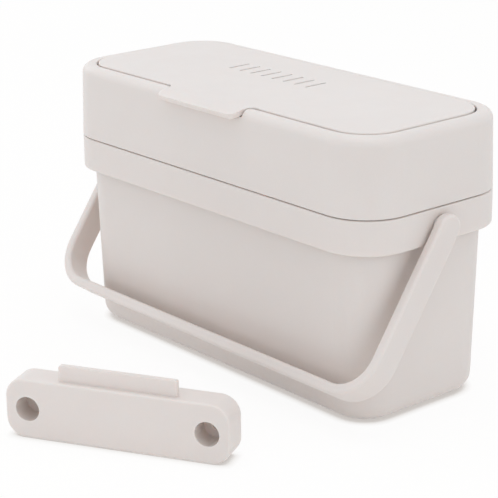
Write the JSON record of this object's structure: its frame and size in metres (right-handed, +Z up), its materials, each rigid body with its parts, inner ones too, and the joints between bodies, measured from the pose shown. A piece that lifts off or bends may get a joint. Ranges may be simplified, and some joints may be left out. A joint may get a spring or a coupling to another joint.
{
  "type": "compost caddy with hinged lid",
  "caption": "Worktop food-waste caddy with a tapered bucket, a bail handle, a lift-off top frame with a flush hinged lid and odour filter, and a hook-on wall bracket.",
  "frame": {"origin": "middle of the bucket's flat base, on the surface that it stands on", "axes": "+X along the long side, -Y towards the front with the lid's tab, +Z up"},
  "size_m": [0.3062, 0.2722, 0.1778],
  "materials": {
    "stone": "fine moulded texture, matte warm light grey",
    "pin_steel": "drawn stainless wire",
    "carbon_pad": "open carbon felt"
  },
  "bodies": {
    "bucket_body": {"bucket": "stone"},
    "handle_body": {"handle": "stone"},
    "frame_body": {"top_frame": "stone"},
    "lid_body": {"lid": "stone", "hinge_pin_left": "pin_steel", "hinge_pin_right": "pin_steel", "filter_housing": "stone"},
    "tray_body": {"filter_tray": "stone", "filter_pad": "carbon_pad"},
    "bracket_body": {"wall_bracket": "stone"}
  },
  "joints": [
    {"name": "handle_swing", "type": "hinge", "parent": "bucket_body", "child": "handle_body", "pos_m": [0, -0.0004, 0.1175], "axis": [-1, 0, 0], "range_deg": [0, 290]},
    {"name": "frame_lift", "type": "slide", "parent": "bucket_body", "child": "frame_body", "axis": [0, 0, 1], "range_m": [0, 0.06]},
    {"name": "lid_hinge", "type": "hinge", "parent": "frame_body", "child": "lid_body", "pos_m": [0, 0.0302, 0.1748], "axis": [-1, 0, 0], "range_deg": [0, 100]},
    {"name": "tray_hinge", "type": "hinge", "parent": "lid_body", "child": "tray_body", "pos_m": [-0.0152, 0.0345, 0.1694], "axis": [1, 0, 0], "range_deg": [0, 85]},
    {"name": "bracket_lift", "type": "slide", "parent": "bucket_body", "child": "bracket_body", "axis": [0, 0, 1], "range_m": [0, 0.1]}
  ]
}
